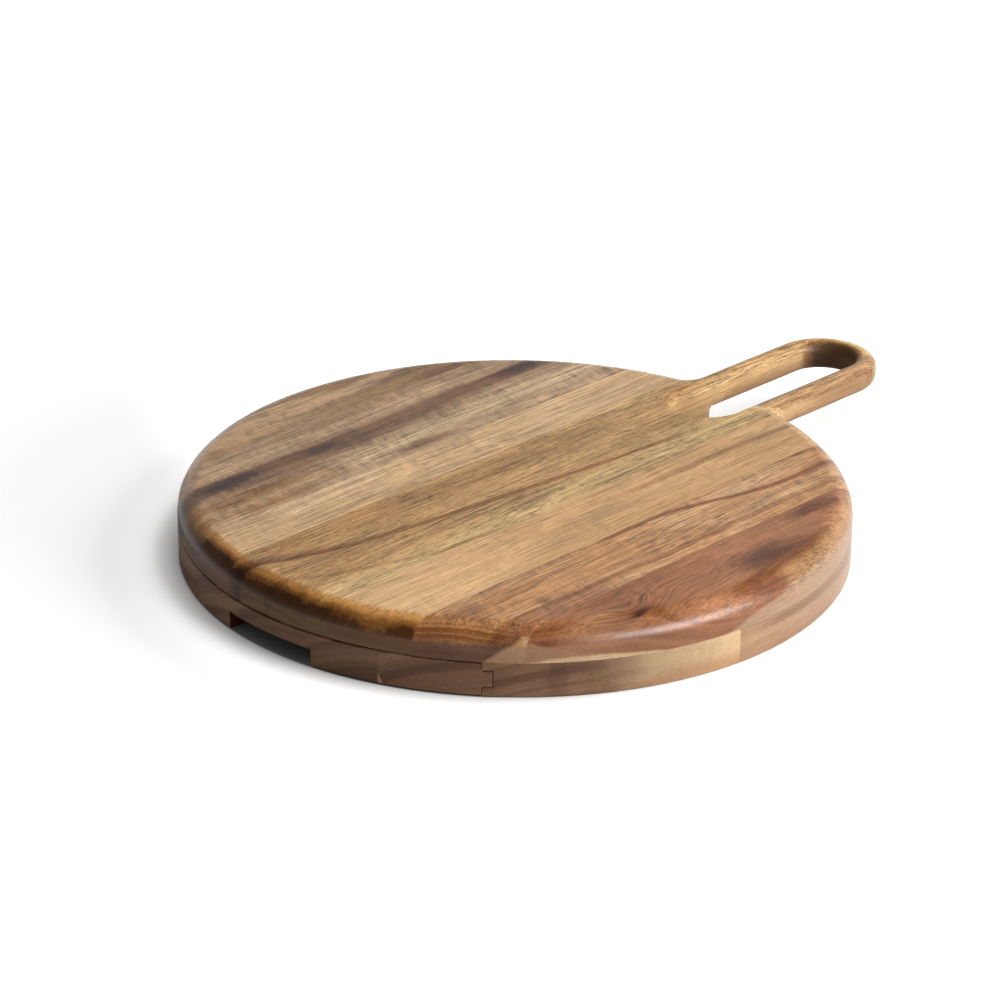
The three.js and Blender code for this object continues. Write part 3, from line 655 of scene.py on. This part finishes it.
def drawer_looks():
    looks = {}
    openings = {row["name"]: row["box_m"] for row in frame["record"]["physics"]["openings"]}
    for count in range(1, DRAWER_STAVES + 1):
        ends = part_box(f"drawer_stave_{count}")
        middle = -(ends[0].y + ends[1].y) / (2 * MM)
        wood = Wood(f"acacia_drawer_{count}", SHADED, pith=(middle + 25, -70), seed=30.0 + count, ring=9.0)
        if count == DRAWER_STAVES:
            wood.corner(DRAWER_SEAM, width=3.0, height=6.5, paint_tone=SAPWOOD)
        # Painted shade on the walls of the finger notch
        wood.recess(openings["finger_notch"], NOTCH_PAINTED_SHADE)
        looks[f"drawer_stave_{count}"] = wood.finish(ripple=0.10, fibre=0.28, end=0.5, wall_end=0.58)
    return looks


# Metals: fine scratches along the blades and broad smears, by their lengths in millimetres, and what they do.
# Each metal has a dark and a light colour and a roughness

STEEL = ((0.56, 0.57, 0.58, 1), (0.68, 0.69, 0.70, 1), 0.28)
NICKEL = ((0.58, 0.58, 0.57, 1), (0.66, 0.66, 0.65, 1), 0.2)
SCRATCHES = (40, 0.2, 0.2)
SCRATCH_RANGE = (0.35, 0.65)
SCRATCH_ROUGHNESS = 0.25
SCRATCH_BUMP = 0.08
SCRATCH_DEPTH = 0.00005
SMEARS = (25, 9, 9)
SMEAR_ROUGHNESS = 0.12


def brushed_metal(name, dark, light, roughness, seed):
    material = bpy.data.materials.new(name)
    g = blank_graph(material)
    point = g.vector("MULTIPLY", g.add("ShaderNodeTexCoord", {}).outputs["Object"], (1 / MM, 1 / MM, 1 / MM))
    scratches = g.noise(point, SCRATCHES, seed)
    smears = g.noise(point, SMEARS, seed + 1)
    rough = roughness
    for marks, amount in ((scratches, SCRATCH_ROUGHNESS), (smears, SMEAR_ROUGHNESS)):
        rough = g.math("ADD", g.math("MULTIPLY", g.math("SUBTRACT", marks, 0.5), amount), rough)
    bump = g.add("ShaderNodeBump", {"Height": scratches, "Strength": SCRATCH_BUMP, "Distance": SCRATCH_DEPTH})
    surface = g.add("ShaderNodeBsdfPrincipled", {
        "Base Color": g.mix(g.step(scratches, *SCRATCH_RANGE), dark, light), "Metallic": 1.0,
        "Roughness": rough, "Normal": bump.outputs[0],
    })
    g.add("ShaderNodeOutputMaterial", {0: surface.outputs[0]})
    return material


# Pieces: a node's own shape with its flat faces joined, smooth round-overs and eased edges; lengths in metres

SHARP_ANGLE = math.radians(32)
SQUARE_ANGLE = math.radians(60)
FLAT_ANGLE = math.radians(0.2)
WELD = 2e-6
GLUE_REACH = 1e-5
EASED_WIDTH = 0.00035
LIP_EASED_WIDTH = 0.0009
DRAWER_EASED_WIDTH = 0.0002


def glued_planes(name, body_of):
    """Flat sides that meet another piece of the same body, as an axis and a place along it."""
    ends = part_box(name)
    planes = []
    for other in frame["nodes"]:
        if other != name and body_of[other] == body_of[name]:
            other_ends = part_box(other)
            for axis in range(3):
                for side in (0, 1):
                    if abs(ends[side][axis] - other_ends[1 - side][axis]) < GLUE_REACH:
                        planes.append((axis, ends[side][axis]))
    return planes


def lies_on(edge, axis, place):
    return all(abs(vert.co[axis] - place) < GLUE_REACH for vert in edge.verts)


def over_drawer(edge):
    """Whether an edge is on the top panel's lower rim where the drawer, and no glue, is under it."""
    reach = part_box("drawer_stave_1")[1].y
    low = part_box("handle_stave")[0].z
    in_front = all(abs(vert.co.y) < reach and vert.co.x < DISC_CENTRE_X for vert in edge.verts)
    return in_front and lies_on(edge, UP, low)


def eased(shape, planes, width):
    """Takes the sharpness off square edges that aren't part of a glue line, most of all over the drawer."""
    lips = []
    plain = []
    for edge in shape.edges:
        if len(edge.link_faces) == 2 and edge.calc_face_angle(0.0) > SQUARE_ANGLE:
            glued = [axis for axis, place in planes if lies_on(edge, axis, place)]
            if not glued:
                plain.append(edge)
            elif set(glued) == {UP} and over_drawer(edge):
                lips.append(edge)
    for edges, amount in ((plain, width), (lips, LIP_EASED_WIDTH)):
        kept = [edge for edge in edges if edge.is_valid]
        bmesh.ops.bevel(shape, geom=kept, offset=amount, offset_type="OFFSET", segments=2, profile=0.5,
                        affect="EDGES", clamp_overlap=True)


def dressed(name, body_of, material):
    """Makes the piece that replaces a node, on the node's body."""
    mesh = frame["nodes"][name].data.copy()
    mesh.name = f"{name}_piece"
    shape = bmesh.new()
    shape.from_mesh(mesh)
    bmesh.ops.remove_doubles(shape, verts=shape.verts, dist=WELD)
    bmesh.ops.dissolve_limit(shape, angle_limit=FLAT_ANGLE, verts=shape.verts, edges=shape.edges)
    width = DRAWER_EASED_WIDTH if name.startswith("drawer_stave") else EASED_WIDTH
    eased(shape, glued_planes(name, body_of), width)
    for face in shape.faces:
        face.smooth = True
    for edge in shape.edges:
        edge.smooth = len(edge.link_faces) == 2 and edge.calc_face_angle(0.0) < SHARP_ANGLE
    shape.to_mesh(mesh)
    shape.free()
    mesh.materials.clear()
    mesh.materials.append(material)
    piece = bpy.data.objects.new(f"{name}_piece", mesh)
    bpy.context.scene.collection.objects.link(piece)
    weighted = piece.modifiers.new("even_shading", "WEIGHTED_NORMAL")
    weighted.keep_sharp = True
    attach(piece, body_of[name])
    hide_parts(name)


def add_pieces():
    bodies = frame["record"]["behaviour"]["bodies"]
    body_of = {name: body for body, names in bodies.items() for name in names}
    looks = {**top_looks(), **base_looks(), **drawer_looks()}
    grip = Wood("acacia_grip", GRIP, pith=(40, -60), seed=50.0, ring=3.0)
    grip_look = grip.finish(fibre=0.3, pore=0.4, pore_cut=0.54, end=0.7, wall_end=0.7)
    steel = brushed_metal("blade_steel", *STEEL, 60.0)
    nickel = brushed_metal("magnet_nickel", *NICKEL, 61.0)
    for name in frame["nodes"]:
        if name.endswith("_grip"):
            looks[name] = grip_look
        elif name.endswith("_blade"):
            looks[name] = steel
        elif "magnet" in name:
            looks[name] = nickel
        dressed(name, body_of, looks[name])


# Stage: a pale floor that keeps the shadow, a white background, a soft key, two panels and an even sky

def camera_axes():
    angle = math.radians(HEADING)
    right = Vector((math.cos(angle), -math.sin(angle), 0))
    forward = Vector((math.sin(angle), math.cos(angle), 0))
    return right, forward


def light_direction(elevation, turn):
    """Towards a light that turns from the picture's right to the back."""
    right, forward = camera_axes()
    level = right * math.cos(math.radians(turn)) + forward * math.sin(math.radians(turn))
    rise = math.radians(elevation)
    return level * math.cos(rise) + Vector((0, 0, math.sin(rise)))


def shown_rays(g):
    """Camera rays, and rays that a reflection or a clear material sends on."""
    rays = g.add("ShaderNodeLightPath", {}).outputs
    return rays["Is Camera Ray"], g.math("MAXIMUM", rays["Is Glossy Ray"], rays["Is Transmission Ray"])


def add_floor():
    mesh = bpy.data.meshes.new("floor")
    corners = [(-FLOOR_HALF, -FLOOR_HALF, 0), (FLOOR_HALF, -FLOOR_HALF, 0),
               (FLOOR_HALF, FLOOR_HALF, 0), (-FLOOR_HALF, FLOOR_HALF, 0)]
    mesh.from_pydata(corners, [], [(0, 1, 2, 3)])
    floor = bpy.data.objects.new("floor", mesh)
    bpy.context.scene.collection.objects.link(floor)
    material = bpy.data.materials.new("floor")
    g = blank_graph(material)
    camera_ray, onward_ray = shown_rays(g)
    seen = g.math("MAXIMUM", camera_ray, onward_ray)
    place = g.add("ShaderNodeTexCoord", {}).outputs["Object"]
    from_rim = g.math("SUBTRACT", g.distance(place, (DISC_CENTRE_X, 0, 0)), DISC_RADIUS)
    # Painted shade: the floor under the board's front, seen through the finger notch, is darkened and not
    # lifted
    towards_front = g.math("SUBTRACT", DISC_CENTRE_X, g.split(place)[0])
    under_front = g.step(towards_front, NOTCH_REACH, NOTCH_REACH + NOTCH_FADE)
    in_notch = g.math("MULTIPLY", g.step(from_rim, RIM_FADE, -RIM_FADE), under_front)
    shade = g.step(in_notch, 0.0, 1.0, 1.0, NOTCH_SHADE)
    shown = g.add("ShaderNodeBsdfDiffuse", {"Color": g.scale(g.mix(seen, FLOOR_BOUNCE, FLOOR_SHOWN), shade)})
    from_centre = g.vector("SUBTRACT", place, (DISC_CENTRE_X, 0, 0))
    shadow_side = g.step(g.dot(from_centre, light_direction(0.0, SHADOW_TURN)), SHADOW_NEAR, SHADOW_FAR)
    faded = g.step(from_rim, SHADOW_FADE_START, SHADOW_FADE_END, 0.0, 1.0 - SHADOW_LIFT)
    clear = g.step(from_rim, LIFT_START, LIFT_END, 0.0, FLOOR_LIFT)
    clear = g.math("MULTIPLY", clear, g.math("SUBTRACT", 1.0, g.math("MULTIPLY", faded, shadow_side)))
    clear = g.math("MULTIPLY", clear, g.math("SUBTRACT", 1.0, in_notch))
    lift = g.add("ShaderNodeEmission", {"Strength": g.math("MULTIPLY", camera_ray, clear)})
    both = g.add("ShaderNodeAddShader", {0: shown.outputs[0], 1: lift.outputs[0]})
    g.add("ShaderNodeOutputMaterial", {0: both.outputs[0]})
    mesh.materials.append(material)


def add_sky():
    world = bpy.data.worlds.new("studio")
    g = blank_graph(world)
    camera_ray, onward_ray = shown_rays(g)
    direction = g.add("ShaderNodeTexCoord", {}).outputs["Generated"]
    right, forward = camera_axes()
    away = AWAY_FROM_ROOM[0] * right + AWAY_FROM_ROOM[1] * forward
    ceiling = g.step(g.split(direction)[UP], CEILING_START, CEILING_END, 1.0, CEILING_LEVEL)
    room = g.step(g.dot(direction, away), ROOM_START, ROOM_END, ROOM_LEVEL, 1.0)
    reflected = g.math("MULTIPLY", onward_ray, g.math("MULTIPLY", ceiling, room))
    reflected = g.math("MAXIMUM", reflected, DARKEST_REFLECTION)
    lit = g.math("MULTIPLY", g.math("SUBTRACT", 1.0, onward_ray), SKY_LEVEL)
    level = g.math("MAXIMUM", camera_ray, g.math("MAXIMUM", reflected, lit))
    glow = g.add("ShaderNodeBackground", {"Color": (1, 1, 1, 1), "Strength": level})
    g.add("ShaderNodeOutputWorld", {0: glow.outputs[0]})
    bpy.context.scene.world = world


def add_key(strength, spread, elevation, turn):
    lamp = bpy.data.lights.new("key", "SUN")
    lamp.energy = strength
    lamp.angle = math.radians(spread)
    holder = bpy.data.objects.new("key", lamp)
    holder.rotation_euler = light_direction(elevation, turn).to_track_quat("Z", "Y").to_euler()
    holder.visible_glossy = False
    bpy.context.scene.collection.objects.link(holder)


def add_panel(name, power, width, height, elevation, turn):
    lamp = bpy.data.lights.new(name, "AREA")
    lamp.shape = "RECTANGLE"
    lamp.size = width
    lamp.size_y = height
    lamp.energy = power
    holder = bpy.data.objects.new(name, lamp)
    towards = light_direction(elevation, turn)
    holder.location = Vector((DISC_CENTRE_X, 0, 0)) + towards * PANEL_DISTANCE
    holder.rotation_euler = towards.to_track_quat("Z", "Y").to_euler()
    holder.visible_camera = False
    bpy.context.scene.collection.objects.link(holder)
    return holder


def add_camera():
    right, forward = camera_axes()
    target = Vector((DISC_CENTRE_X, 0, 0)) + right * TARGET_RIGHT + forward * TARGET_FORWARD
    rise = math.radians(ELEVATION)
    place = target - forward * (DISTANCE * math.cos(rise)) + Vector((0, 0, DISTANCE * math.sin(rise)))
    lens = bpy.data.cameras.new("camera")
    lens.sensor_width = SENSOR_MM
    lens.lens = FOCAL_PIXELS / IMAGE_PIXELS * SENSOR_MM
    lens.clip_end = CLIP_END
    camera = bpy.data.objects.new("camera", lens)
    turn = Matrix.Rotation(-math.radians(HEADING), 4, "Z")
    tilt = Matrix.Rotation(math.radians(90 - ELEVATION), 4, "X")
    roll = Matrix.Rotation(math.radians(ROLL), 4, "Z")
    camera.matrix_world = Matrix.Translation(place) @ turn @ tilt @ roll
    bpy.context.scene.collection.objects.link(camera)
    bpy.context.scene.camera = camera


add_pieces()
add_floor()
add_sky()
add_key(*KEY)
add_panel("fill_panel", *FILL_PANEL).visible_glossy = False
add_panel("gloss_panel", *GLOSS_PANEL).visible_diffuse = False
add_camera()
bpy.context.scene.view_settings.view_transform = "Standard"
